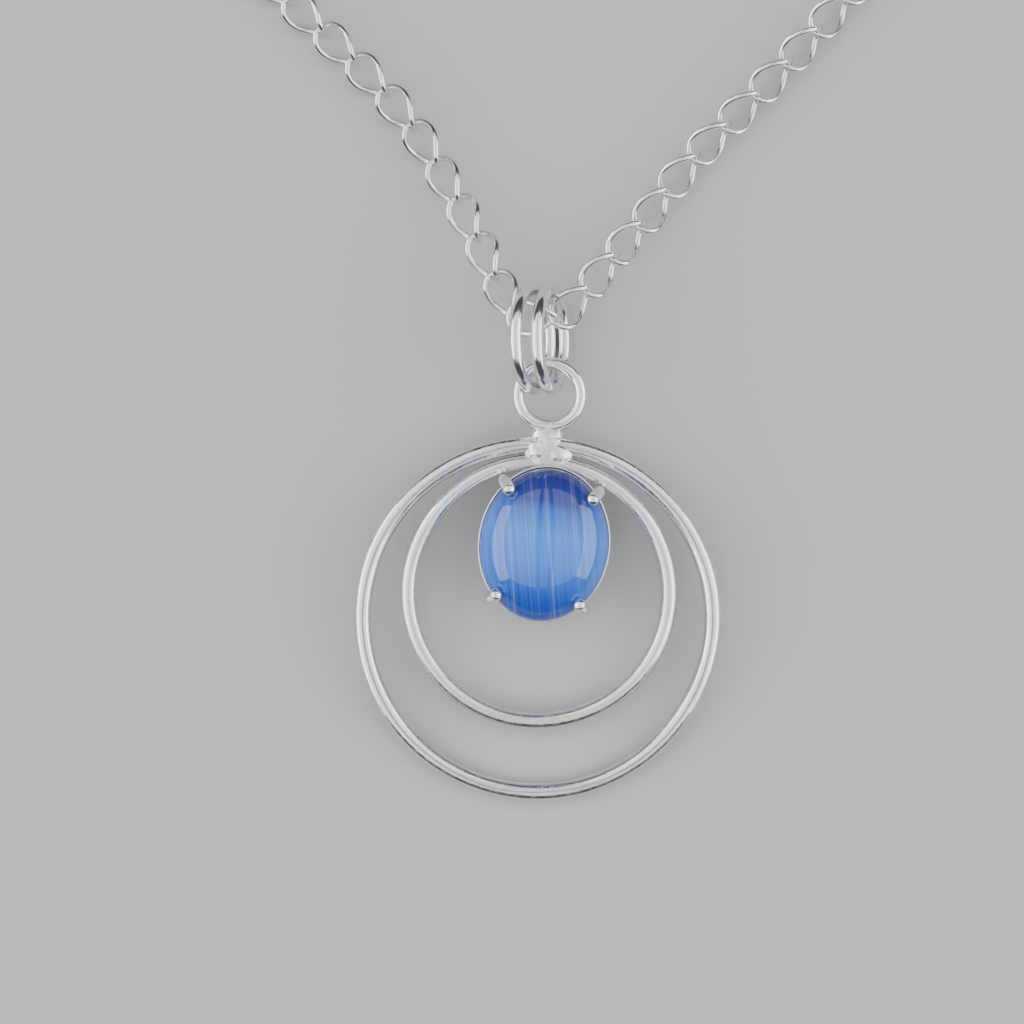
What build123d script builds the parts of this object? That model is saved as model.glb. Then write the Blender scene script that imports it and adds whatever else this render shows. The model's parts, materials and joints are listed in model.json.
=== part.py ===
from build123d import *
from math import cos, pi, radians, sin
import os

# Pendant necklace in silver: two hoops of round wire that touch at the top, an oval cabochon in a
# four-claw setting over the inner hoop, an eyelet, two jump rings as a bail, a twisted curb chain
# that runs through both rings, and a lobster clasp and its tag ring at the free ends.
# It lies on its back, face up (+Z), with the pendant towards -Y and the chain laid out in an open
# horseshoe towards +Y. Lengths are in millimetres and angles in degrees.

# ---- where it lies: the outer hoop's centre in plan, from the middle of the footprint ----
PENDANT_X = 1.033
PENDANT_Y = -108.427

# ---- wire hoops ----
OUTER_HOOP_R = 13.8
OUTER_WIRE = 1.4
INNER_HOOP_R = 10.25
INNER_WIRE = 1.3
HOOP_GAP = 0.1
INNER_HOOP_Y = OUTER_HOOP_R - OUTER_WIRE / 2 - HOOP_GAP - INNER_WIRE / 2 - INNER_HOOP_R

# ---- eyelet above the hoops ----
EYELET_R = 2.45
EYELET_WIRE = 1.0
EYELET_GAP = 0.22
EYELET_Y = OUTER_HOOP_R + OUTER_WIRE / 2 + EYELET_GAP + EYELET_WIRE / 2 + EYELET_R

# ---- how the pendant lies: turned in plan, with its top held up by the rings that stand on edge ----
PENDANT_TURN = -3.1
PENDANT_TILT = 5.2
PENDANT_Z = OUTER_WIRE / 2 + OUTER_HOOP_R * sin(radians(PENDANT_TILT))

# ---- oval stone and four-claw setting ----
STONE_A = 5.0
STONE_B = 6.0
GIRDLE = 0.6
DOME = 3.0
DOME_STEP = 12
DOME_END = 84
PLATE_T = 0.5
PLATE_LIP = 0.18
PLATE_EDGE = 0.12
SETTING_X = 0.2
SETTING_Y = 6.05
SETTING_TURN = -3.9
CLAW_WIRE = 0.8
CLAW_X = 3.42
CLAW_LAP = 24.0
CLAW_BEND = 0.6
FIT = 0.02

# ---- solder at the eyelet and across the two hoops ----
NECK_WIDTH = 2.2
NECK_DEPTH = 1.1
BRIDGE_WIDTH = 3.8
BRIDGE_FROM = 11.9
BRIDGE_TO = 14.3
BRIDGE_BASE = 0.15
BRIDGE_TOP = 1.0
SOLDER_CORNER = 0.5

# ---- bail: two split jump rings that stand on edge, one behind the other ----
RING_R = 3.85
RING_WIRE = 1.0
RING_SPLIT = 2.0
RING_SPLIT_AT = 200.0
RING_Y = 21.9
RING_LEFT_X = -0.35
RING_LEFT_LEAN = 21.0
RING_RIGHT_X = 1.07
RING_RIGHT_LEAN = 17.0

# ---- twisted curb link: an oval of round wire whose far end is turned a quarter against its near one ----
LINK_HALF = 2.0
LINK_SIDE = 1.47
LINK_WIRE = 0.5
LINK_TWIST = 90.0
LINK_CORNERS = 8
LINK_BEND = 0.85
LINK_SEAM = 0.06
LINK_HOLD = LINK_WIRE + 0.03
LINK_LEVEL = 1.53

# ---- chain layout: each link's heading away from the bail, and its fall from the bail to the ground ----
STRAND_LINKS = 62
SINGLE_LINKS = 12
RUN_LINKS = 7
RIGHT_HEADINGS = (46, 51, 50, 54, 50, 45, 45, 46, 48, 49)
LEFT_HEADINGS = (65, 65, 63, 60, 58, 51, 46, 43, 43, 45)
END_HEADING = 112.0
LINK_FALLS = (8, 14, 14, 8)
CENTRE_LINK_X = -0.25
CENTRE_LINK_Y = 23.55

# ---- small rings at the chain's ends ----
END_RING_R = 1.55
END_RING_WIRE = 0.7
END_RING_ROLL = 45.0
END_RING_SPLIT = 3.0
TAG_RING_R = 2.3
TAG_RING_WIRE = 0.8
TAG_RING_FALL = 13.0
RING_PLAY = 0.22

# ---- lobster clasp, with X from its eye to its nose and the lever on its +Y side ----
CLASP_THICK = 2.7
EYE_R = 1.35
EYE_WIRE = 0.7
TAIL_X = 2.9
TAIL_R = 1.5
JAW_X = 7.6
JAW_R = 2.7
WINDOW_X = 7.7
WINDOW_R = 1.65
GATE_LEFT = 4.9
GATE_TOP_RIGHT = 8.15
GATE_LOW_RIGHT = 8.95
GATE_LOW = 1.0
GATE_HIGH = 3.2
SLOT_THICK = 1.2
LEVER_THICK = 1.1
LEVER_PLAY = 0.12
LEVER_SWING = 18.0
ARM_R = 0.8
ARM_X = 5.5
ARM_Y = 1.4
PIN_X = 4.4
PIN_Y = 0.75
PIN_R = 0.3
PIN_PLAY = 0.02
SPRING_WIRE = 0.3
SPRING_LEFT = 2.7
SPRING_RIGHT = 3.3
SPRING_LOW = 0.05
SPRING_HIGH = 1.0
SPRING_BEND = 0.25
SPRING_ROOM = 0.25


def place_of(origin, x_dir, z_dir):
    """A location from a point, the direction of its X axis and that of its Z axis."""
    return Plane(origin=origin, x_dir=x_dir, z_dir=z_dir).location


def heading_dir(heading, fall):
    """A unit vector that points along a heading in plan and down by a fall."""
    level = cos(radians(fall))
    return Vector(level * cos(radians(heading)), level * sin(radians(heading)), -sin(radians(fall)))


# ---------------------------------------------------------------- pendant: places and planes
pendant_place = Location((PENDANT_X, PENDANT_Y, PENDANT_Z), (PENDANT_TILT, 0, 0)) * Location(
    (0, 0, 0), (0, 0, PENDANT_TURN)
)
pendant_plane = Plane(pendant_place)
inner_hoop_place = pendant_place * Location((0, INNER_HOOP_Y, 0))
eyelet_place = pendant_place * Location((0, EYELET_Y, 0))
setting_place = pendant_place * Location(
    (SETTING_X, SETTING_Y, INNER_WIRE / 2 + FIT), (0, 0, SETTING_TURN)
)
setting_plane = Plane(setting_place)
girdle_plane = setting_plane.offset(PLATE_T + FIT)

# ---------------------------------------------------------------- hoops and eyelet
with BuildPart() as outer_hoop:
    with Locations(pendant_place):
        Torus(OUTER_HOOP_R, OUTER_WIRE / 2)
outer_hoop.part.label = "outer_hoop"

with BuildPart() as inner_hoop:
    with Locations(inner_hoop_place):
        Torus(INNER_HOOP_R, INNER_WIRE / 2)
inner_hoop.part.label = "inner_hoop"

with BuildPart() as eyelet:
    with Locations(eyelet_place):
        Torus(EYELET_R, EYELET_WIRE / 2)
eyelet.part.label = "eyelet"

# ---------------------------------------------------------------- setting
with BuildPart() as setting_plate:
    with BuildSketch(setting_plane):
        Ellipse(STONE_A + PLATE_LIP, STONE_B + PLATE_LIP)
    extrude(amount=PLATE_T)
    chamfer(setting_plate.edges(), PLATE_EDGE)
setting_plate.part.label = "setting_plate"


def dome_share(angle):
    """How wide the dome still is, as a share of the girdle, at an angle up its profile."""
    return cos(radians(angle))


def dome_height(angle):
    return DOME * sin(radians(angle))


with BuildPart() as cabochon:
    with BuildSketch(girdle_plane):
        Ellipse(STONE_A, STONE_B)
    extrude(amount=GIRDLE)
    for angle in range(0, DOME_END + 1, DOME_STEP):
        with BuildSketch(girdle_plane.offset(GIRDLE + dome_height(angle))):
            Ellipse(STONE_A * dome_share(angle), STONE_B * dome_share(angle))
    loft()
cabochon.part.label = "cabochon"


def claw_points(side, end):
    """A claw's line in the girdle's frame: up beside the stone, then over the foot of its dome."""
    x = side * CLAW_X
    y = end * STONE_B * (1 - (CLAW_X / STONE_A) ** 2) ** 0.5
    outward = Vector(x / STONE_A**2, y / STONE_B**2, 0).normalized()
    off = CLAW_WIRE / 2 + FIT
    foot = Vector(x, y, 0) + outward * (off + PLATE_LIP)
    lap_x, lap_y = x * dome_share(CLAW_LAP), y * dome_share(CLAW_LAP)
    rise = dome_height(CLAW_LAP)
    over = Vector(lap_x / STONE_A**2, lap_y / STONE_B**2, rise / DOME**2).normalized()
    tip = Vector(lap_x, lap_y, GIRDLE + rise) + over * off
    shoulder = foot + Vector(0, 0, GIRDLE + rise / 3)
    foot -= Vector(0, 0, PLATE_T)
    return [girdle_plane.from_local_coords(point) for point in (foot, shoulder, tip)]


with BuildPart() as claws:
    for side in (-1, 1):
        for end in (-1, 1):
            with BuildLine() as claw_line:
                FilletPolyline(*claw_points(side, end), radius=CLAW_BEND)
            with BuildSketch(Plane(claw_line.line @ 0, z_dir=claw_line.line % 0)):
                Circle(CLAW_WIRE / 2)
            sweep(path=claw_line.wires()[0])
claws.part.label = "claws"

# ---------------------------------------------------------------- solder
with BuildPart() as eyelet_solder:
    with BuildSketch(pendant_plane.offset(-NECK_DEPTH / 2)):
        with Locations((0, (OUTER_HOOP_R + EYELET_Y - EYELET_R) / 2)):
            Rectangle(NECK_WIDTH, EYELET_Y - EYELET_R - OUTER_HOOP_R)
    extrude(amount=NECK_DEPTH)
    with Locations(pendant_place):
        Torus(OUTER_HOOP_R, OUTER_WIRE / 2 + FIT, mode=Mode.SUBTRACT)
    with Locations(eyelet_place):
        Torus(EYELET_R, EYELET_WIRE / 2 + FIT, mode=Mode.SUBTRACT)
eyelet_solder.part.label = "eyelet_solder"

with BuildPart() as hoop_solder:
    with BuildSketch(pendant_plane.offset(BRIDGE_BASE)):
        with Locations((0, (BRIDGE_FROM + BRIDGE_TO) / 2)):
            RectangleRounded(BRIDGE_WIDTH, BRIDGE_TO - BRIDGE_FROM, SOLDER_CORNER)
    extrude(amount=BRIDGE_TOP - BRIDGE_BASE)
    with Locations(pendant_place):
        Torus(OUTER_HOOP_R, OUTER_WIRE / 2 + FIT, mode=Mode.SUBTRACT)
    with Locations(inner_hoop_place):
        Torus(INNER_HOOP_R, INNER_WIRE / 2 + FIT, mode=Mode.SUBTRACT)
    with BuildSketch(setting_plane.offset(-FIT)):
        Ellipse(STONE_A + PLATE_LIP + FIT, STONE_B + PLATE_LIP + FIT)
    extrude(amount=GIRDLE + PLATE_T, mode=Mode.SUBTRACT)
hoop_solder.part.label = "hoop_solder"

# ---------------------------------------------------------------- bail rings


def bail_ring_place(x, lean):
    """A ring's place: its plane holds Y and leans over to -X, and its wire rests on the ground."""
    height = RING_R * cos(radians(lean)) + RING_WIRE / 2
    origin = Vector(PENDANT_X + x, PENDANT_Y + RING_Y, height)
    axis = Vector(cos(radians(lean)), 0, sin(radians(lean)))
    return place_of(origin, (0, 1, 0), axis)


ring_left_place = bail_ring_place(RING_LEFT_X, RING_LEFT_LEAN)
ring_right_place = bail_ring_place(RING_RIGHT_X, RING_RIGHT_LEAN)

with BuildPart() as jump_ring_left:
    with Locations(ring_left_place * Location((0, 0, 0), (0, 0, RING_SPLIT_AT))):
        Torus(RING_R, RING_WIRE / 2, major_angle=360 - RING_SPLIT)
jump_ring_left.part.label = "jump_ring_left"

with BuildPart() as jump_ring_right:
    with Locations(ring_right_place * Location((0, 0, 0), (0, 0, RING_SPLIT_AT))):
        Torus(RING_R, RING_WIRE / 2, major_angle=360 - RING_SPLIT)
jump_ring_right.part.label = "jump_ring_right"

# ---------------------------------------------------------------- one curb link, lying along X


def link_corner(number):
    """A corner of the twisted oval: its near end lies flat and its far end stands upright."""
    half = pi / LINK_CORNERS
    turn = pi / 2 + half * (2 * number + 1)
    twist = radians(LINK_TWIST) / 2 * (1 + cos(turn) / cos(half))
    side = LINK_SIDE * sin(turn) / cos(half)
    return Vector(LINK_HALF * cos(turn) / cos(half), side * cos(twist), side * sin(twist))


link_corners = [link_corner(number) for number in range(LINK_CORNERS)]
seam_middle = (link_corners[0] + link_corners[-1]) / 2
seam_half = (link_corners[0] - link_corners[-1]).normalized() * LINK_SEAM / 2

with BuildPart() as link:
    with BuildLine() as link_line:
        FilletPolyline(
            seam_middle + seam_half, *link_corners, seam_middle - seam_half, radius=LINK_BEND
        )
    with BuildSketch(Plane(link_line.line @ 0, z_dir=link_line.line % 0)):
        Circle(LINK_WIRE / 2)
    sweep(path=link_line.wires()[0])

# ---------------------------------------------------------------- chain layout


def heading_at(number, first):
    """A link's heading: the first few are given, and the rest turn evenly to the strand's end."""
    if number < len(first):
        return first[number]
    share = (number + 1 - len(first)) / (STRAND_LINKS - len(first))
    return first[-1] + (END_HEADING - first[-1]) * share


def fall_at(number):
    return LINK_FALLS[number] if number < len(LINK_FALLS) else 0


def strand(start, first, side):
    """The places of a strand's links and the upright wires they swing on, from the centre link out.

    A link's upright end wire is the pivot. On the right (side 1) it is the one nearer the bail that
    carries it, and on the left (side -1) it is the outer link's own, because the twist runs one way.
    """
    along, up = Vector(side, 0, 0), Vector(0, 0, 1)
    middle = start
    places, pivots = [], []
    for number in range(STRAND_LINKS):
        heading = heading_at(number, first)
        course = heading if side > 0 else 180 - heading
        across = heading_dir(course + 90, 0)
        next_along = heading_dir(course, fall_at(number))
        next_up = next_along.cross(across)
        end = middle + along * LINK_HALF
        if side > 0:
            near = end - across.cross(up).normalized() * LINK_HOLD
            pivots.append((end, up))
            roll = 0
        else:
            near = end - up.cross(along).cross(next_up).normalized() * LINK_HOLD
            pivots.append((near, next_up))
            roll = 90
        middle = near + next_along * LINK_HALF
        along, up = next_along, next_up
        places.append(place_of(middle, along, up) * Location((0, 0, 0), (roll, 0, 0)))
    return places, pivots


drop = -strand(Vector(0, 0, 0), RIGHT_HEADINGS, 1)[0][-1].position.Z
centre_link_at = Vector(
    PENDANT_X + CENTRE_LINK_X, PENDANT_Y + CENTRE_LINK_Y, LINK_LEVEL + drop
)
right_places, right_pivots = strand(centre_link_at, RIGHT_HEADINGS, 1)
left_places, left_pivots = strand(centre_link_at, LEFT_HEADINGS, -1)


# ---------------------------------------------------------------- chain links and runs of links
with BuildPart() as centre_link:
    with Locations(place_of(centre_link_at, (1, 0, 0), (0, 0, 1))):
        add(link.part)
centre_link.part.label = "centre_link"


def strand_groups():
    """The links of each chain body: single ones near the bail, then runs that move as one."""
    groups = [(number,) for number in range(SINGLE_LINKS)]
    for first in range(SINGLE_LINKS, STRAND_LINKS, RUN_LINKS):
        groups.append(tuple(range(first, min(first + RUN_LINKS, STRAND_LINKS))))
    return groups


def group_name(side, group):
    if len(group) == 1:
        return f"{side}_link_{group[0] + 1:02d}"
    return f"{side}_links_{group[0] + 1:02d}_to_{group[-1] + 1:02d}"


chain_parts = []
for side, places in (("left", left_places), ("right", right_places)):
    for group in strand_groups():
        with BuildPart() as links:
            with Locations(*[places[number] for number in group]):
                add(link.part)
        links.part.label = group_name(side, group)
        chain_parts.append(links.part)

# ---------------------------------------------------------------- rings at the strands' free ends


def end_ring_place(last, offset, roll):
    """A small ring through a strand's last link, rolled about the chain's line."""
    course = Plane(last).x_dir
    across = Vector(0, 0, 1).cross(course)
    tilt = radians(roll)
    axis = Vector(0, 0, cos(tilt)) + across * sin(tilt)
    end = last.position + course * (LINK_HALF - offset)
    return place_of(end + course * END_RING_R, course, axis)


END_RING_HOLD = LINK_WIRE / 2 + END_RING_WIRE / 2 + RING_PLAY
clasp_ring_place = end_ring_place(right_places[-1], END_RING_HOLD, END_RING_ROLL)
tag_link_place = end_ring_place(left_places[-1], END_RING_HOLD, -END_RING_ROLL)

with BuildPart() as clasp_ring:
    with Locations(clasp_ring_place * Location((0, 0, 0), (0, 0, 90))):
        Torus(END_RING_R, END_RING_WIRE / 2, major_angle=360 - END_RING_SPLIT)
clasp_ring.part.label = "clasp_ring"

with BuildPart() as tag_link:
    with Locations(tag_link_place * Location((0, 0, 0), (0, 0, 90))):
        Torus(END_RING_R, END_RING_WIRE / 2, major_angle=360 - END_RING_SPLIT)
tag_link.part.label = "tag_link"

TAG_RING_HOLD = END_RING_WIRE / 2 + TAG_RING_WIRE / 2 + RING_PLAY
tag_course = Plane(tag_link_place).x_dir
tag_across = Vector(0, 0, 1).cross(tag_course)
tag_along = tag_course * cos(radians(TAG_RING_FALL)) - Vector(0, 0, sin(radians(TAG_RING_FALL)))
tag_ring_at = (
    tag_link_place.position
    + tag_course * (END_RING_R - TAG_RING_HOLD)
    + tag_along * TAG_RING_R
)

with BuildPart() as tag_ring:
    with Locations(place_of(tag_ring_at, tag_along, tag_along.cross(tag_across))):
        Torus(TAG_RING_R, TAG_RING_WIRE / 2)
tag_ring.part.label = "tag_ring"

# ---------------------------------------------------------------- lobster clasp
EYE_HOLD = END_RING_WIRE / 2 + EYE_WIRE / 2 + RING_PLAY
clasp_course = Plane(clasp_ring_place).x_dir
clasp_eye_at = clasp_ring_place.position + clasp_course * (END_RING_R - EYE_HOLD + EYE_R)
clasp_plane = Plane(origin=clasp_eye_at, x_dir=clasp_course, z_dir=(0, 0, 1))
clasp_floor = clasp_plane.offset(-CLASP_THICK / 2)
slot_floor = clasp_plane.offset(-SLOT_THICK / 2)
lever_floor = clasp_plane.offset(-LEVER_THICK / 2)

arm_turn = radians(-LEVER_SWING)
arm_swung = (
    PIN_X + (ARM_X - PIN_X) * cos(arm_turn) - (ARM_Y - PIN_Y) * sin(arm_turn),
    PIN_Y + (ARM_X - PIN_X) * sin(arm_turn) + (ARM_Y - PIN_Y) * cos(arm_turn),
)


def gate_outline(play):
    """The gap in the clasp's side, with the nose side cut along the way the lever's tip swings."""
    return [
        (GATE_LEFT + play, GATE_HIGH),
        (GATE_TOP_RIGHT - play, GATE_HIGH),
        (GATE_LOW_RIGHT - play, GATE_LOW),
        (GATE_LEFT + play, GATE_LOW),
    ]


with BuildPart() as clasp_body:
    with BuildSketch(clasp_floor):
        with Locations((TAIL_X, 0)):
            Circle(TAIL_R)
        with Locations((JAW_X, 0)):
            Circle(JAW_R)
        make_hull()
        with Locations((WINDOW_X, 0)):
            Circle(WINDOW_R, mode=Mode.SUBTRACT)
        Polygon(*gate_outline(0), align=None, mode=Mode.SUBTRACT)
    extrude(amount=CLASP_THICK)
    with BuildSketch(slot_floor):
        with Locations((PIN_X, PIN_Y), (ARM_X, ARM_Y), arm_swung):
            Circle(ARM_R + LEVER_PLAY)
        make_hull()
        with Locations(((SPRING_LEFT + SPRING_RIGHT) / 2, (SPRING_LOW + SPRING_HIGH) / 2)):
            Rectangle(
                SPRING_RIGHT - SPRING_LEFT + 2 * SPRING_ROOM + SPRING_WIRE,
                SPRING_HIGH - SPRING_LOW + 2 * SPRING_ROOM,
            )
    extrude(amount=SLOT_THICK, mode=Mode.SUBTRACT)
    with Locations(clasp_plane.location * Location((PIN_X, PIN_Y, 0))):
        Cylinder(PIN_R + PIN_PLAY, CLASP_THICK * 2, mode=Mode.SUBTRACT)
    with Locations(clasp_plane.location):
        Torus(EYE_R, EYE_WIRE / 2)
clasp_body.part.label = "clasp_body"

with BuildPart() as clasp_lever:
    with BuildSketch(lever_floor):
        with Locations((TAIL_X, 0)):
            Circle(TAIL_R)
        with Locations((JAW_X, 0)):
            Circle(JAW_R - LEVER_PLAY)
        make_hull()
        Polygon(*gate_outline(LEVER_PLAY), align=None, mode=Mode.INTERSECT)
        with Locations((WINDOW_X, 0)):
            Circle(WINDOW_R + LEVER_PLAY, mode=Mode.SUBTRACT)
    extrude(amount=LEVER_THICK)
    with BuildSketch(lever_floor):
        with Locations((PIN_X, PIN_Y), (ARM_X, ARM_Y)):
            Circle(ARM_R)
        make_hull()
        with Locations((PIN_X, PIN_Y)):
            Circle(PIN_R + PIN_PLAY, mode=Mode.SUBTRACT)
    extrude(amount=LEVER_THICK)
clasp_lever.part.label = "clasp_lever"

with BuildPart() as clasp_pin:
    with Locations(clasp_plane.location * Location((PIN_X, PIN_Y, 0))):
        Cylinder(PIN_R, CLASP_THICK)
clasp_pin.part.label = "clasp_pin"

with BuildPart() as clasp_spring:
    with BuildLine(clasp_plane) as spring_line:
        FilletPolyline(
            (SPRING_RIGHT, SPRING_HIGH),
            (SPRING_LEFT, SPRING_HIGH),
            (SPRING_LEFT, SPRING_LOW),
            (SPRING_RIGHT, SPRING_LOW),
            radius=SPRING_BEND,
        )
    with BuildSketch(Plane(spring_line.line @ 0, z_dir=spring_line.line % 0)):
        Circle(SPRING_WIRE / 2)
    sweep(path=spring_line.wires()[0])
clasp_spring.part.label = "clasp_spring"

pieces = [
    outer_hoop.part,
    inner_hoop.part,
    eyelet.part,
    eyelet_solder.part,
    hoop_solder.part,
    setting_plate.part,
    claws.part,
    cabochon.part,
    jump_ring_left.part,
    jump_ring_right.part,
    centre_link.part,
    *chain_parts,
    tag_link.part,
    tag_ring.part,
    clasp_ring.part,
    clasp_body.part,
    clasp_lever.part,
    clasp_pin.part,
    clasp_spring.part,
]

os.makedirs("parts", exist_ok=True)
for piece in pieces:
    export_step(piece, f"parts/{piece.label}.step")
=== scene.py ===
import json
import math
import random

import bpy
import numpy as np
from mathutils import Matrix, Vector


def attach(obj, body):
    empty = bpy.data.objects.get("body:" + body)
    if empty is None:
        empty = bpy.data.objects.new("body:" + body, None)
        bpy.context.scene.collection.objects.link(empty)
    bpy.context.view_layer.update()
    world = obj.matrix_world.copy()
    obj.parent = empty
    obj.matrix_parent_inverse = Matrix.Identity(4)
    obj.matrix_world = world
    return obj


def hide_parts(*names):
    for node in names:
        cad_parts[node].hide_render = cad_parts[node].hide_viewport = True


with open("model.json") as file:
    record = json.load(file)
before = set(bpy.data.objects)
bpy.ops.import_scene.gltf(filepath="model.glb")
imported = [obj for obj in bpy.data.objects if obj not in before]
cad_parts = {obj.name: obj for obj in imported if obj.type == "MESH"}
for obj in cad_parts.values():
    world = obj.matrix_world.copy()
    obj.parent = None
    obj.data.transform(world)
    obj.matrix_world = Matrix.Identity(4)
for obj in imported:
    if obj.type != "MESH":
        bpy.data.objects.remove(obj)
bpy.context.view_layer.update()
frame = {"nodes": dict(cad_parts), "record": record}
MM = 0.001

# The part's own sizes and places, in millimetres and degrees.
PENDANT_X, PENDANT_Y = 1.033, -108.427
PENDANT_TILT, PENDANT_TURN = 5.2, -3.1
OUTER_R, OUTER_WIRE = 13.8, 1.4
INNER_R, INNER_WIRE = 10.25, 1.3
HOOP_GAP = 0.1
EYELET_R, EYELET_WIRE, EYELET_GAP = 2.45, 1.0, 0.22
RING_R, RING_WIRE, RING_SPLIT, RING_SPLIT_AT, RING_Y = 3.85, 1.0, 2.0, 200.0, 21.9
RING_LEFT_X, RING_LEFT_LEAN = -0.35, 21.0
RING_RIGHT_X, RING_RIGHT_LEAN = 1.07, 17.0
SETTING_X, SETTING_Y, SETTING_TURN = 0.2, 6.05, -3.9
STONE_A, STONE_B, GIRDLE, DOME = 5.0, 6.0, 0.6, 3.0
PLATE_LIFT, PLATE_T, STONE_LIFT = 0.02, 0.5, 0.52
CLAW_X, CLAW_LAP = 3.42, 24.0
LINK_HALF, LINK_SIDE, LINK_WIRE, LINK_HOLD, LINK_LEVEL = 2.0, 1.47, 0.5, 0.53, 1.53
STRAND_LINKS, SINGLE_LINKS, RUN_LINKS = 62, 12, 7
RIGHT_HEADINGS = (46, 51, 50, 54, 50, 45, 45, 46, 48, 49)
LEFT_HEADINGS = (65, 65, 63, 60, 58, 51, 46, 43, 43, 45)
END_HEADING = 112.0
LINK_FALLS = (8, 14, 14, 8)
CENTRE_LINK_X, CENTRE_LINK_Y = -0.25, 23.55

# Points around a hoop and around the stone, how far a hoop's wire swells and thins, and a
# direction that no wire starts along.
HOOP_POINTS, STONE_POINTS = 480, 160
WIRE_SWELL = 0.012
ODD_DIRECTION = (0.3, 0.5, 0.81)

# Claws: the wire's radius, how much thicker the tip is, and where and how softly that starts.
CLAW_R, CLAW_SWELL, CLAW_SWELL_AT, CLAW_SWELL_RUN = 0.38, 0.34, 0.62, 0.05
# How far outside the stone they stand at its upper and its lower end.
CLAW_OUT_TOP, CLAW_OUT_FOOT = 0.46, 0.6
# Where the straight part and the bend end, and how far the tip lies over and in from the edge.
CLAW_STRAIGHT, CLAW_BENT, CLAW_OVER, CLAW_IN = 0.72, 0.45, 0.42, 0.45

body_of_node = {}
for body_name, members in frame["record"]["behaviour"]["bodies"].items():
    for member in members:
        body_of_node[member] = body_name


# ---------------------------------------------------------------- materials
def tree_of(name):
    """A new material with its node tree and its Principled shader."""
    material = bpy.data.materials.new(name)
    material.use_nodes = True
    tree = material.node_tree
    shader = tree.nodes["Principled BSDF"]
    return material, tree, shader


def node(tree, kind, **values):
    """A new node, with each value given to the input of that name or else to the setting."""
    made = tree.nodes.new(kind)
    for key, value in values.items():
        if key in made.inputs:
            made.inputs[key].default_value = value
        else:
            setattr(made, key, value)
    return made


def plug(tree, socket, value):
    """Links a socket to another, or sets it to a plain value."""
    if isinstance(value, bpy.types.NodeSocket):
        tree.links.new(value, socket)
    else:
        socket.default_value = value


def noise(tree, source, scale, detail, rough, stretch=(1, 1, 1), turn=(0, 0, 0)):
    """Noise along a source that is turned first and stretched after, so that streaks can lean."""
    spin = node(tree, "ShaderNodeMapping")
    spin.inputs["Rotation"].default_value = turn
    tree.links.new(source, spin.inputs["Vector"])
    mapping = node(tree, "ShaderNodeMapping")
    mapping.inputs["Scale"].default_value = stretch
    tree.links.new(spin.outputs["Vector"], mapping.inputs["Vector"])
    made = node(tree, "ShaderNodeTexNoise", Scale=scale, Detail=detail, Roughness=rough)
    tree.links.new(mapping.outputs["Vector"], made.inputs["Vector"])
    return made.outputs["Fac"]


def ramp(tree, source, stops):
    """A colour ramp through (position, colour) stops."""
    made = node(tree, "ShaderNodeValToRGB")
    ends = made.color_ramp.elements
    while len(ends) < len(stops):
        ends.new(0.5)
    for end, (at, colour) in zip(ends, stops):
        end.position = at
        end.color = (*colour, 1)
    tree.links.new(source, made.inputs["Fac"])
    return made.outputs["Color"]


def grey(value):
    return (value, value, value)


def maths(tree, operation, *values):
    made = node(tree, "ShaderNodeMath", operation=operation)
    for socket, value in zip(made.inputs, values):
        plug(tree, socket, value)
    return made.outputs[0]


def mix(tree, blend, factor, first, second):
    made = node(tree, "ShaderNodeMixRGB", blend_type=blend)
    for name, value in (("Fac", factor), ("Color1", first), ("Color2", second)):
        plug(tree, made.inputs[name], value)
    return made.outputs["Color"]


def bump(tree, height, strength, distance, under=None):
    """A bump's normal, laid over another normal if one is given."""
    made = node(tree, "ShaderNodeBump", Strength=strength, Distance=distance)
    tree.links.new(height, made.inputs["Height"])
    if under is not None:
        tree.links.new(under, made.inputs["Normal"])
    return made.outputs["Normal"]


def draw_lines(tree, place, depth):
    """Shade of the faint lines that run round with a hoop's wire, about the piece's own axis."""
    parts = node(tree, "ShaderNodeSeparateXYZ")
    tree.links.new(place, parts.inputs["Vector"])
    squares = [maths(tree, "MULTIPLY", parts.outputs[key], parts.outputs[key]) for key in "XY"]
    reach = maths(tree, "POWER", maths(tree, "ADD", *squares), 0.5)
    sway = maths(tree, "MULTIPLY", noise(tree, place, 160, 2, 0.5), 0.35 * MM)
    course = node(tree, "ShaderNodeCombineXYZ")
    tree.links.new(maths(tree, "ADD", reach, sway), course.inputs["X"])
    lines = noise(tree, course.outputs["Vector"], 4200, 2, 0.6)
    return ramp(tree, lines, [(0.36, grey(1 - depth)), (0.46, grey(1.0))])


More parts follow.
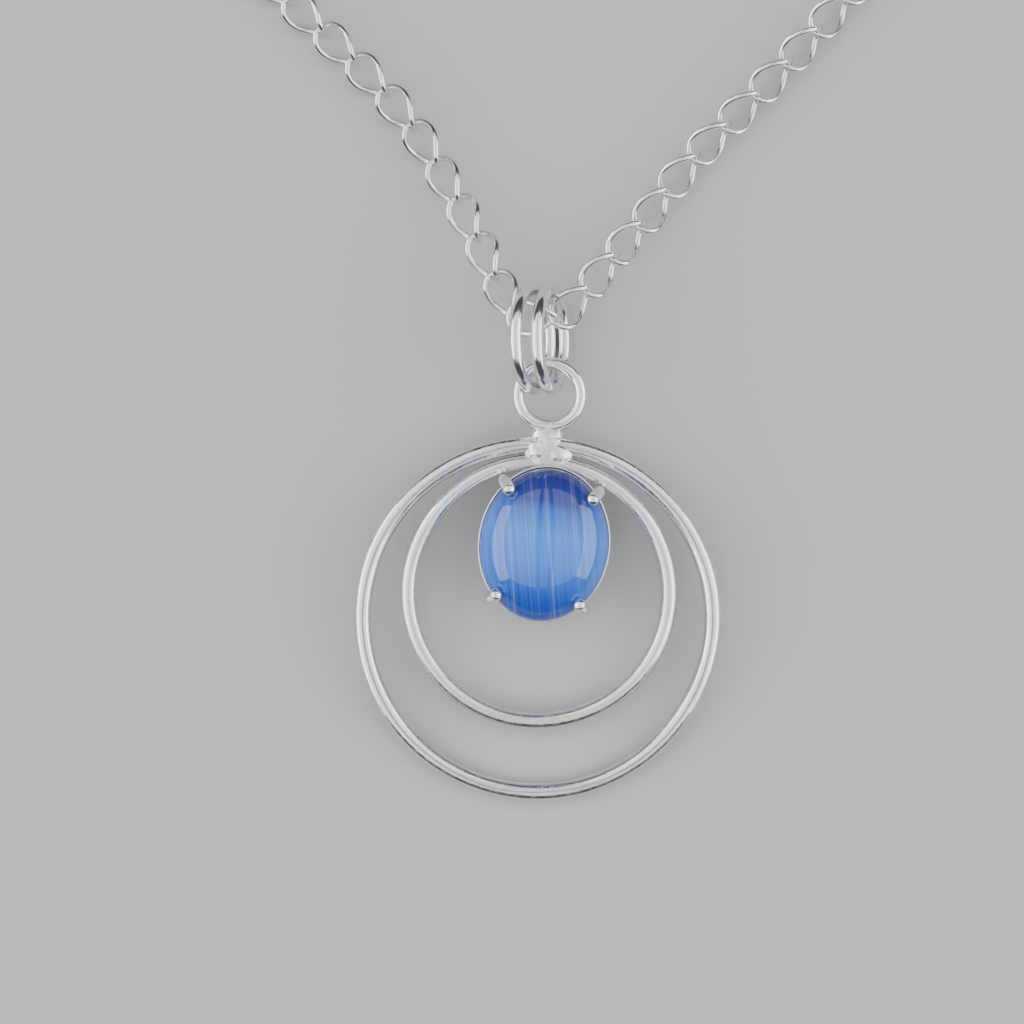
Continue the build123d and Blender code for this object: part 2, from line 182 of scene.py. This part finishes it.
def silver(name, bright, dull, rough, wave, scratch, grain, drawn=0.0):
    """Worn polished silver: a soft ripple, fine scratches both ways and patches of haze.

    rough is the lowest and the highest roughness, and drawn is how deep a hoop's draw lines are.
    """
    material, tree, shader = tree_of(name)
    place = node(tree, "ShaderNodeTexCoord").outputs["Object"]
    haze = noise(tree, place, 260, 5, 0.6)
    fine = noise(tree, place, 2600, 3, 0.6, stretch=(1, 0.16, 1), turn=(0, 0, 0.5))
    cross = noise(tree, place, 2300, 3, 0.6, stretch=(0.16, 1, 1), turn=(0.3, 0, -0.7))
    scratches = maths(tree, "MULTIPLY", fine, cross)
    colour = ramp(tree, haze, [(0.3, dull), (0.62, bright)])
    if drawn:
        colour = mix(tree, "MULTIPLY", 1.0, colour, draw_lines(tree, place, drawn))
    tree.links.new(colour, shader.inputs["Base Color"])
    rough_low, rough_high = rough
    hazy = ramp(tree, haze, [(0.3, grey(rough_high)), (0.7, grey(rough_low))])
    worn = ramp(tree, scratches, [(0.12, grey(0.0)), (0.42, grey(grain))])
    tree.links.new(mix(tree, "ADD", 1.0, hazy, worn), shader.inputs["Roughness"])
    shader.inputs["Metallic"].default_value = 1.0
    ripple = bump(tree, noise(tree, place, 520, 2, 0.5), wave, 0.2 * MM)
    tree.links.new(bump(tree, scratches, scratch, 0.02 * MM, ripple), shader.inputs["Normal"])
    return material


def stone_material():
    """Fibre-optic glass: fine streaks along the stone, a soft bright band that is partly the
    stone's own band and partly a painted overhead reflection, a dark top end painted where that
    reflection stops, and a deeper rim.
    """
    material, tree, shader = tree_of("cats_eye")
    place = node(tree, "ShaderNodeTexCoord").outputs["Object"]
    parts = node(tree, "ShaderNodeSeparateXYZ")
    tree.links.new(place, parts.inputs["Vector"])
    x, y = parts.outputs["X"], parts.outputs["Y"]
    lean = (0, 0, -0.19)
    streak = noise(tree, place, 3600, 3, 0.7, stretch=(1, 0.01, 0.02), turn=lean)
    broad = noise(tree, place, 620, 2, 0.5, stretch=(1, 0.02, 0.02), turn=lean)
    drift = maths(tree, "ADD", y, maths(tree, "MULTIPLY", broad, 1.2 * MM))
    along = maths(tree, "MULTIPLY_ADD", drift, 1 / (2 * STONE_B * MM), 0.45)
    # Painted reflection: along the stone the ramp is lighter in the middle, partly the stone's own
    # band and partly where an overhead light's reflection falls. It turns dark at the top end,
    # painted where that reflection stops, and it is also darker towards the bottom end.
    stops = [
        (0.0, (0.012, 0.05, 0.36)),
        (0.16, (0.02, 0.085, 0.46)),
        (0.4, (0.04, 0.21, 0.76)),
        (0.58, (0.055, 0.25, 0.8)),
        (0.74, (0.04, 0.14, 0.58)),
        (0.8, (0.03, 0.055, 0.3)),
        (0.97, (0.025, 0.03, 0.2)),
    ]
    # body holds the stone's blue together with that painted reflection and its painted dark top
    # end.
    body = ramp(tree, along, stops)
    stops = [(0.34, (0.6, 0.66, 0.8)), (0.5, (0.95, 0.96, 1.0)), (0.66, (1.0, 1.0, 1.0))]
    lit = mix(tree, "MULTIPLY", 0.75, body, ramp(tree, streak, stops))
    pale = ramp(tree, streak, [(0.55, grey(0.0)), (0.8, grey(0.3))])
    glow = mix(tree, "ADD", 0.45, lit, pale)
    across = maths(tree, "ABSOLUTE", maths(tree, "MULTIPLY", x, 1 / (STONE_A * MM)))
    rim = ramp(tree, across, [(0.5, grey(0.0)), (1.0, grey(0.5))])
    deep = mix(tree, "MIX", rim, glow, (0.05, 0.16, 0.6, 1))
    tree.links.new(deep, shader.inputs["Base Color"])
    for socket, value in (
        ("Roughness", 0.4),
        ("Specular IOR Level", 0.05),
        ("IOR", 1.52),
        ("Coat Weight", 1.0),
        ("Coat Roughness", 0.035),
        ("Subsurface Weight", 0.12),
        ("Subsurface Radius", (0.4 * MM, 0.6 * MM, 1.0 * MM)),
    ):
        shader.inputs[socket].default_value = value
    uneven = noise(tree, place, 900, 3, 0.55)
    tree.links.new(bump(tree, uneven, 0.05, 0.03 * MM), shader.inputs["Coat Normal"])
    return material


hoop_silver = silver(
    "hoop_silver",
    bright=(0.86, 0.86, 0.87),
    dull=(0.7, 0.7, 0.72),
    rough=(0.13, 0.24),
    wave=0.16,
    scratch=0.6,
    grain=0.16,
    drawn=0.5,
)
bail_silver = silver(
    "bail_silver",
    bright=(0.9, 0.9, 0.91),
    dull=(0.78, 0.78, 0.8),
    rough=(0.09, 0.17),
    wave=0.08,
    scratch=0.3,
    grain=0.08,
)
chain_silver = silver(
    "chain_silver",
    bright=(0.88, 0.88, 0.89),
    dull=(0.7, 0.7, 0.73),
    rough=(0.1, 0.2),
    wave=0.12,
    scratch=0.3,
    grain=0.08,
)
claw_silver = silver(
    "claw_silver",
    bright=(0.9, 0.9, 0.91),
    dull=(0.8, 0.8, 0.82),
    rough=(0.1, 0.18),
    wave=0.12,
    scratch=0.2,
    grain=0.06,
)
clasp_silver = silver(
    "clasp_silver",
    bright=(0.86, 0.86, 0.88),
    dull=(0.74, 0.74, 0.76),
    rough=(0.12, 0.22),
    wave=0.1,
    scratch=0.3,
    grain=0.1,
)
solder_silver = silver(
    "solder_silver",
    bright=(0.95, 0.95, 0.94),
    dull=(0.5, 0.5, 0.51),
    rough=(0.16, 0.36),
    wave=1.0,
    scratch=1.0,
    grain=0.14,
)
spring_steel = silver(
    "spring_steel",
    bright=(0.6, 0.6, 0.62),
    dull=(0.4, 0.4, 0.42),
    rough=(0.2, 0.35),
    wave=0.1,
    scratch=0.5,
    grain=0.1,
)
cats_eye = stone_material()


# ---------------------------------------------------------------- meshes
def turned(axis, degrees):
    """Rotation matrix about a coordinate axis, given as 0, 1 or 2."""
    c, s = math.cos(math.radians(degrees)), math.sin(math.radians(degrees))
    matrix = np.eye(3)
    a, b = [(1, 2), (2, 0), (0, 1)][axis]
    matrix[a, a] = matrix[b, b] = c
    matrix[a, b], matrix[b, a] = -s, s
    return matrix


class Place:
    """A rotation and an origin, in millimetres."""

    def __init__(self, turn, origin):
        self.turn, self.origin = np.array(turn, float), np.array(origin, float)

    def __mul__(self, other):
        return Place(self.turn @ other.turn, self.turn @ other.origin + self.origin)

    def __call__(self, points):
        return np.asarray(points, float) @ self.turn.T + self.origin


def unit(vector):
    return vector / np.linalg.norm(vector)


def axes(origin, x_dir, z_dir):
    """A place with its X along one direction and its Z as near as it can be to another."""
    x, z = unit(np.array(x_dir, float)), np.array(z_dir, float)
    z = unit(z - x * (z @ x))
    return Place(np.array([x, np.cross(z, x), z]).T, origin)


def skin(rings, around, closed=False, flip=False):
    """Quads over rings of points, with the last ring joined to the first if closed."""
    faces = []
    for row in range(rings if closed else rings - 1):
        here, there = row * around, (row + 1) % rings * around
        for k in range(around):
            n = (k + 1) % around
            if flip:
                faces.append((here + k, there + k, there + n, here + n))
            else:
                faces.append((here + k, here + n, there + n, there + k))
    return faces


def first_cap(around):
    return tuple(reversed(range(around)))


def last_cap(rings, around):
    return tuple(range((rings - 1) * around, rings * around))


def sweep(points, radii, closed, around):
    """Vertices and faces of a round tube along a line of points, with a radius at each point."""
    points = np.asarray(points, float)
    count = len(points)
    radii = np.broadcast_to(np.asarray(radii, float), (count,))
    if closed:
        tangents = np.roll(points, -1, 0) - np.roll(points, 1, 0)
    else:
        tangents = np.gradient(points, axis=0)
    tangents /= np.linalg.norm(tangents, axis=1)[:, None]
    sides = [unit(np.cross(tangents[0], ODD_DIRECTION))]
    for tangent in tangents[1:]:
        sides.append(unit(sides[-1] - tangent * (sides[-1] @ tangent)))
    sides = np.array(sides)
    if closed:
        back = sides[-1] - tangents[0] * (sides[-1] @ tangents[0])
        up = np.cross(tangents[0], sides[0])
        slip = math.atan2(back @ up, back @ sides[0])
        turn = -slip * np.arange(count) / count
        ups = np.cross(tangents, sides)
        sides = sides * np.cos(turn)[:, None] + ups * np.sin(turn)[:, None]
    ups = np.cross(tangents, sides)
    angles = np.linspace(0, 2 * math.pi, around, endpoint=False)
    cosines, sines = np.cos(angles)[None, :, None], np.sin(angles)[None, :, None]
    ring = cosines * sides[:, None] + sines * ups[:, None]
    verts = (points[:, None] + ring * radii[:, None, None]).reshape(-1, 3)
    faces = skin(count, around, closed)
    if not closed:
        faces += [first_cap(around), last_cap(count, around)]
    return verts, faces


def joined(pieces):
    """One list of vertices and one of faces from several pieces."""
    verts, faces, start = [], [], 0
    for v, f in pieces:
        verts.append(np.asarray(v))
        faces += [tuple(start + i for i in face) for face in f]
        start += len(v)
    return np.concatenate(verts), faces


def build(name, pieces, material, replaced, place=None):
    """One smooth mesh from tubes and shells in millimetres, riding the body of its node.

    The points are the part's own, or local to place if one is given.
    """
    verts, faces = joined(pieces)
    mesh = bpy.data.meshes.new(name)
    mesh.from_pydata([tuple(v * MM) for v in verts], [], faces)
    mesh.validate()
    mesh.polygons.foreach_set("use_smooth", [True] * len(mesh.polygons))
    mesh.materials.append(material)
    made = bpy.data.objects.new(name, mesh)
    bpy.context.scene.collection.objects.link(made)
    if place is not None:
        for row in range(3):
            for column in range(3):
                made.matrix_world[row][column] = place.turn[row, column]
            made.matrix_world[row][3] = place.origin[row] * MM
    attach(made, body_of_node[replaced])
    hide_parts(replaced)
    return made


def round_ends(points, radius, steps=6):
    """Extends a line past both ends with a hemisphere's shrinking radii, just short of its pole."""
    points = np.asarray(points, float)
    radii = np.full(len(points), radius)
    for end in (0, -1):
        inner = points[1] if end == 0 else points[-2]
        out = points[end] - inner
        out /= np.linalg.norm(out)
        angles = np.linspace(0, 0.48 * math.pi, steps + 1)[1:]
        cap = points[end] + out * radius * np.sin(angles)[:, None]
        caps = radius * np.cos(angles)
        if end == 0:
            points = np.vstack([cap[::-1], points])
            radii = np.concatenate([caps[::-1], radii])
        else:
            points = np.vstack([points, cap])
            radii = np.concatenate([radii, caps])
    return points, radii


def hoop_line(radius, count, wobble=0.0, phase=0.0):
    """A circle that wanders a little off round, as hand-bent wire does."""
    t = np.linspace(0, 2 * math.pi, count, endpoint=False)
    r = radius + wobble * (np.sin(3 * t + phase) + 0.6 * np.sin(5 * t + 2 * phase))
    return np.stack([r * np.cos(t), r * np.sin(t), 0 * t], 1)


def split_ring(radius, split, at):
    """A circle with a gap of split degrees at an angle."""
    t = np.radians(np.linspace(at + split / 2, at + 360 - split / 2, 120))
    return np.stack([radius * np.cos(t), radius * np.sin(t), 0 * t], 1)


# ---------------------------------------------------------------- hoops, eyelet and bail
inner_y = OUTER_R - OUTER_WIRE / 2 - HOOP_GAP - INNER_WIRE / 2 - INNER_R
eyelet_y = OUTER_R + OUTER_WIRE / 2 + EYELET_GAP + EYELET_WIRE / 2 + EYELET_R
pendant_z = OUTER_WIRE / 2 + OUTER_R * math.sin(math.radians(PENDANT_TILT))
flat = np.eye(3)
pendant = Place(
    turned(0, PENDANT_TILT) @ turned(2, PENDANT_TURN), (PENDANT_X, PENDANT_Y, pendant_z)
)
inner = pendant * Place(flat, (0, inner_y, 0))
eyelet = pendant * Place(flat, (0, eyelet_y, 0))
setting = pendant * Place(
    turned(2, SETTING_TURN), (SETTING_X, SETTING_Y, INNER_WIRE / 2 + PLATE_LIFT)
)
girdle = setting * Place(flat, (0, 0, STONE_LIFT))

t = np.linspace(0, 2 * math.pi, HOOP_POINTS, endpoint=False)
outer_line = hoop_line(OUTER_R, HOOP_POINTS, wobble=0.035, phase=0.6)
outer_radii = OUTER_WIRE / 2 + WIRE_SWELL * np.sin(7 * t)
build(
    "outer_hoop_wire",
    [sweep(outer_line, outer_radii, True, 32)],
    hoop_silver,
    "outer_hoop",
    pendant,
)
inner_line = hoop_line(INNER_R, HOOP_POINTS, wobble=0.03, phase=2.1)
inner_radii = INNER_WIRE / 2 + WIRE_SWELL * np.sin(5 * t + 1)
build(
    "inner_hoop_wire",
    [sweep(inner_line, inner_radii, True, 32)],
    hoop_silver,
    "inner_hoop",
    inner,
)
build(
    "eyelet_wire",
    [sweep(eyelet(hoop_line(EYELET_R, 160)), EYELET_WIRE / 2, True, 28)],
    bail_silver,
    "eyelet",
)
for name, x, lean in (
    ("jump_ring_left", RING_LEFT_X, RING_LEFT_LEAN),
    ("jump_ring_right", RING_RIGHT_X, RING_RIGHT_LEAN),
):
    tip = math.radians(lean)
    ring = axes(
        (PENDANT_X + x, PENDANT_Y + RING_Y, RING_R * math.cos(tip) + RING_WIRE / 2),
        (0, 1, 0),
        (math.cos(tip), 0, math.sin(tip)),
    )
    line = ring(split_ring(RING_R, RING_SPLIT, RING_SPLIT_AT))
    build(
        name + "_wire", [sweep(line, RING_WIRE / 2, False, 28)], bail_silver, name
    )


# ---------------------------------------------------------------- solder
def blob(name, lumps, replaced, place):
    """Flowed solder: lumps fused into one skin and smoothed."""
    rows, around = 15, 24
    faces = skin(rows, around, flip=True)
    shells = []
    for centre, reach in lumps:
        verts = []
        for a in np.linspace(0, math.pi, rows):
            for b in np.linspace(0, 2 * math.pi, around, endpoint=False):
                ball = (math.sin(a) * math.cos(b), math.sin(a) * math.sin(b), math.cos(a))
                verts.append([c + r * s for c, r, s in zip(centre, reach, ball)])
        shells.append((place(verts), faces))
    made = build(name, shells, solder_silver, replaced)
    fuse = made.modifiers.new("fuse", "REMESH")
    fuse.mode = "VOXEL"
    fuse.voxel_size = 0.07 * MM
    fuse.use_smooth_shade = True
    ease = made.modifiers.new("ease", "SMOOTH")
    ease.factor = 0.8
    ease.iterations = 24
    grain = bpy.data.textures.new(name, "CLOUDS")
    grain.noise_scale = 0.9 * MM
    rough = made.modifiers.new("rough", "DISPLACE")
    rough.texture = grain
    rough.strength = 0.1 * MM
    rough.mid_level = 0.5


chance = random.Random(11)
hoop_lumps = [
    ((0.2, 13.15, 0.3), (2.0, 1.0, 0.56)),
    ((-0.7, 13.3, 0.4), (0.9, 0.75, 0.5)),
    ((0.9, 13.1, 0.42), (1.0, 0.85, 0.5)),
    ((0.2, 12.45, 0.42), (1.5, 0.55, 0.42)),
    ((0.1, 14.05, 0.3), (1.2, 0.6, 0.5)),
]
for _ in range(4):
    spot = (chance.uniform(-1.2, 1.4), chance.uniform(12.6, 13.9), chance.uniform(0.5, 0.6))
    reach = (chance.uniform(0.5, 0.8), chance.uniform(0.35, 0.5), chance.uniform(0.25, 0.33))
    hoop_lumps.append((spot, reach))
eyelet_lumps = [
    ((0, 14.55, 0.0), (1.35, 0.62, 0.62)),
    ((0, 14.9, 0.0), (0.95, 0.5, 0.55)),
    ((-0.5, 14.7, 0.2), (0.6, 0.5, 0.45)),
    ((0.6, 14.7, 0.15), (0.6, 0.5, 0.45)),
    ((0.1, 14.4, 0.35), (0.9, 0.5, 0.4)),
]
blob("hoop_solder_flow", hoop_lumps, "hoop_solder", pendant)
blob("eyelet_solder_flow", eyelet_lumps, "eyelet_solder", pendant)


# ---------------------------------------------------------------- stone, setting and claws
def oval_rings(profile):
    """Rings of points around an oval, one for each (half width, half length, height)."""
    verts = []
    for a, b, z in profile:
        for turn in np.linspace(0, 2 * math.pi, STONE_POINTS, endpoint=False):
            verts.append((a * math.cos(turn), b * math.sin(turn), z))
    return verts


def stone_shell():
    """A domed oval with a small foot, closed by a fan at its crown."""
    shares = [(0.93, 0.0), (0.985, 0.05), (1.0, 0.14), (1.0, 0.4)]
    for a in np.linspace(0, math.pi / 2, 41, endpoint=False):
        shares.append((math.cos(a), GIRDLE + DOME * math.sin(a)))
    verts = oval_rings([(STONE_A * share, STONE_B * share, z) for share, z in shares])
    crown, top = len(verts), len(verts) - STONE_POINTS
    verts.append((0, 0, GIRDLE + DOME))
    faces = skin(len(shares), STONE_POINTS) + [first_cap(STONE_POINTS)]
    for k in range(STONE_POINTS):
        faces.append((top + k, top + (k + 1) % STONE_POINTS, crown))
    return np.array(verts), faces


def claw(side, end):
    """A claw of round wire that bends in over the stone and is thicker at its tip."""
    x = side * CLAW_X
    y = end * STONE_B * math.sqrt(1 - (CLAW_X / STONE_A) ** 2)
    out = unit(np.array([x / STONE_A**2, y / STONE_B**2, 0]))
    lap = math.radians(CLAW_LAP)
    tip_x, tip_y, rise = x * math.cos(lap), y * math.cos(lap), DOME * math.sin(lap)
    over = unit(np.array([tip_x / STONE_A**2, tip_y / STONE_B**2, rise / DOME**2]))
    foot = np.array([x, y, 0]) + out * (CLAW_OUT_TOP if end > 0 else CLAW_OUT_FOOT)
    inward = -out - over * (-out @ over)
    tip = np.array([tip_x, tip_y, GIRDLE + rise]) + over * CLAW_OVER + inward * CLAW_IN
    shoulder = foot + np.array([0, 0, GIRDLE + rise / 3])
    foot = foot - np.array([0, 0, PLATE_T])
    s = np.linspace(0, 1, 22)[:, None]
    low = foot + (shoulder - foot) * s * CLAW_STRAIGHT
    bend_from, bend_to = low[-1], shoulder + (tip - shoulder) * CLAW_BENT
    s = np.linspace(0, 1, 16)[1:, None]
    bend = bend_from * (1 - s) ** 2 + 2 * shoulder * s * (1 - s) + bend_to * s**2
    s = np.linspace(0, 1, 8)[1:, None]
    last = bend_to + (tip - bend_to) * s
    points, radii = round_ends(np.vstack([low, bend, last]), CLAW_R)
    along = np.linspace(0, 1, len(points))
    radii = radii * (1 + CLAW_SWELL / (1 + np.exp((CLAW_SWELL_AT - along) / CLAW_SWELL_RUN)))
    return sweep(girdle(points), radii, False, 24)


def rim_shell():
    """The setting's plate with a thin turned-up rim around the stone's foot."""
    profile = [
        (-0.5, 0.0),
        (0.1, 0.0),
        (0.16, 0.06),
        (0.18, 0.3),
        (0.17, 0.62),
        (0.1, 0.72),
        (0.03, 0.68),
        (0.02, PLATE_T),
        (-0.5, PLATE_T),
    ]
    verts = oval_rings([(STONE_A + grow, STONE_B + grow, z) for grow, z in profile])
    faces = skin(len(profile), STONE_POINTS)
    faces += [first_cap(STONE_POINTS), last_cap(len(profile), STONE_POINTS)]
    return setting(verts), faces


claws = [claw(side, end) for side in (-1, 1) for end in (-1, 1)]
build("cats_eye_stone", [stone_shell()], cats_eye, "cabochon", girdle)
build("claw_wires", claws, claw_silver, "claws")
build("setting_rim", [rim_shell()], claw_silver, "setting_plate")


# ---------------------------------------------------------------- chain
def heading_dir(heading, fall):
    """The direction with a heading in plan and a fall below level, in degrees."""
    h, f = math.radians(heading), math.radians(fall)
    return np.array([math.cos(f) * math.cos(h), math.cos(f) * math.sin(h), -math.sin(f)])


def heading_at(number, first):
    """A link's heading: as listed near the bail, then turning evenly to the strand's end."""
    if number < len(first):
        return first[number]
    share = (number + 1 - len(first)) / (STRAND_LINKS - len(first))
    return first[-1] + (END_HEADING - first[-1]) * share


def strand(start, side, headings):
    """The places of a strand's links, from the bail outward."""
    along, up = np.array([side, 0.0, 0.0]), np.array([0, 0, 1.0])
    middle, places = start, []
    for number in range(STRAND_LINKS):
        heading = heading_at(number, headings)
        course = heading if side > 0 else 180 - heading
        across = heading_dir(course + 90, 0)
        next_along = heading_dir(course, LINK_FALLS[number] if number < len(LINK_FALLS) else 0)
        next_up = np.cross(next_along, across)
        end = middle + along * LINK_HALF
        if side > 0:
            near, roll = end - unit(np.cross(across, up)) * LINK_HOLD, 0
        else:
            near, roll = end - unit(np.cross(np.cross(up, along), next_up)) * LINK_HOLD, 90
        middle = near + next_along * LINK_HALF
        along, up = next_along, next_up
        places.append(axes(middle, along, up) * Place(turned(0, roll), (0, 0, 0)))
    return places


def link_tube(place):
    """One link of round wire, its far end turned a quarter against its near one."""
    turn = np.linspace(0, 2 * math.pi, 72, endpoint=False)
    twist = math.pi / 4 * (1 + np.cos(turn))
    wide = LINK_SIDE * np.sin(turn)
    line = np.stack([LINK_HALF * np.cos(turn), wide * np.cos(twist), wide * np.sin(twist)], 1)
    return sweep(place(line), LINK_WIRE / 2, True, 16)


def build_links(name, places):
    tubes = [link_tube(place) for place in places]
    build(name + "_wire", tubes, chain_silver, name)


drop = -strand(np.zeros(3), 1, RIGHT_HEADINGS)[-1].origin[2]
centre = np.array([PENDANT_X + CENTRE_LINK_X, PENDANT_Y + CENTRE_LINK_Y, LINK_LEVEL + drop])
build_links("centre_link", [axes(centre, (1, 0, 0), (0, 0, 1))])
for word, side, headings in (("left", -1, LEFT_HEADINGS), ("right", 1, RIGHT_HEADINGS)):
    places = strand(centre, side, headings)
    for n in range(SINGLE_LINKS):
        build_links(f"{word}_link_{n + 1:02d}", [places[n]])
    for n in range(SINGLE_LINKS, STRAND_LINKS - 1, RUN_LINKS):
        build_links(f"{word}_links_{n + 1:02d}_to_{n + RUN_LINKS:02d}", places[n : n + RUN_LINKS])
    build_links(f"{word}_link_{STRAND_LINKS}", [places[-1]])

# ---------------------------------------------------------------- clasp and tag, as in the part
for name, material, bevelled in (
    ("tag_link", clasp_silver, False),
    ("tag_ring", clasp_silver, False),
    ("clasp_ring", clasp_silver, False),
    ("clasp_body", clasp_silver, True),
    ("clasp_lever", clasp_silver, True),
    ("clasp_pin", clasp_silver, True),
    ("clasp_spring", spring_steel, False),
):
    shown = frame["nodes"][name]
    shown.data.materials.clear()
    shown.data.materials.append(material)
    shown.data.polygons.foreach_set("use_smooth", [True] * len(shown.data.polygons))
    if bevelled:
        edge = shown.modifiers.new("edge", "BEVEL")
        edge.width = 0.12 * MM
        edge.segments = 3
        edge.limit_method = "ANGLE"
    crease = shown.modifiers.new("crease", "EDGE_SPLIT")
    crease.split_angle = math.radians(40)


# ---------------------------------------------------------------- room, light and camera
floor_grey, _, floor_shader = tree_of("pale_floor")
floor_shader.inputs["Base Color"].default_value = (0.46, 0.46, 0.47, 1)
floor_shader.inputs["Roughness"].default_value = 0.85
FLOOR_HALF, FLOOR_DROP = 6.0, 0.0001  # metres
floor_mesh = bpy.data.meshes.new("floor")
corners = [(x * FLOOR_HALF, y * FLOOR_HALF, 0) for x, y in ((-1, -1), (1, -1), (1, 1), (-1, 1))]
floor_mesh.from_pydata(corners, [], [(0, 1, 2, 3)])
floor_mesh.materials.append(floor_grey)
floor = bpy.data.objects.new("floor", floor_mesh)
floor.location = (0, 0, -FLOOR_DROP)
bpy.context.scene.collection.objects.link(floor)


def soft_light(name, place, aim, size, power):
    """A rectangular area light, with its place, aim and size in metres."""
    data = bpy.data.lights.new(name, "AREA")
    data.shape = "RECTANGLE"
    data.size, data.size_y = size
    data.energy = power
    made = bpy.data.objects.new(name, data)
    made.location = place
    made.rotation_euler = (Vector(aim) - Vector(place)).to_track_quat("-Z", "Y").to_euler()
    bpy.context.scene.collection.objects.link(made)


target = (PENDANT_X * MM, (PENDANT_Y + 8) * MM, 0)
soft_light("left_box", (-0.5, target[1] - 0.02, 0.24), target, (0.7, 0.26), 2.6)
soft_light("right_box", (0.52, target[1] - 0.04, 0.25), target, (0.7, 0.3), 2.6)
CEILING_Y, CEILING_Z, CEILING_LONG = target[1] + 0.12, 0.9, 2.05
AIM_SHIFT = 0.00001  # keeps a light's aim just off straight down
for name, x, width, power in (
    ("ceiling_left", -0.62, 0.95, 11.0),
    ("ceiling_right", 0.66, 0.95, 10.0),
    ("ceiling_middle", 0.02, 0.16, 1.4),
):
    aim = (x, CEILING_Y + AIM_SHIFT, 0)
    soft_light(name, (x, CEILING_Y, CEILING_Z), aim, (width, CEILING_LONG), power)
world = bpy.data.worlds.new("studio")
world.use_nodes = True
background = world.node_tree.nodes["Background"]
background.inputs["Color"].default_value = (0.5, 0.52, 0.56, 1)
background.inputs["Strength"].default_value = 0.14
bpy.context.scene.world = world

lens = bpy.data.cameras.new("camera")
lens.lens, lens.sensor_width = 100, 36
lens.clip_start, lens.clip_end = 0.01, 20
camera = bpy.data.objects.new("camera", lens)
camera.location = ((PENDANT_X - 1.98) * MM, (PENDANT_Y + 8.41) * MM, 0.226)
bpy.context.scene.collection.objects.link(camera)
bpy.context.scene.camera = camera

bpy.context.view_layer.update()
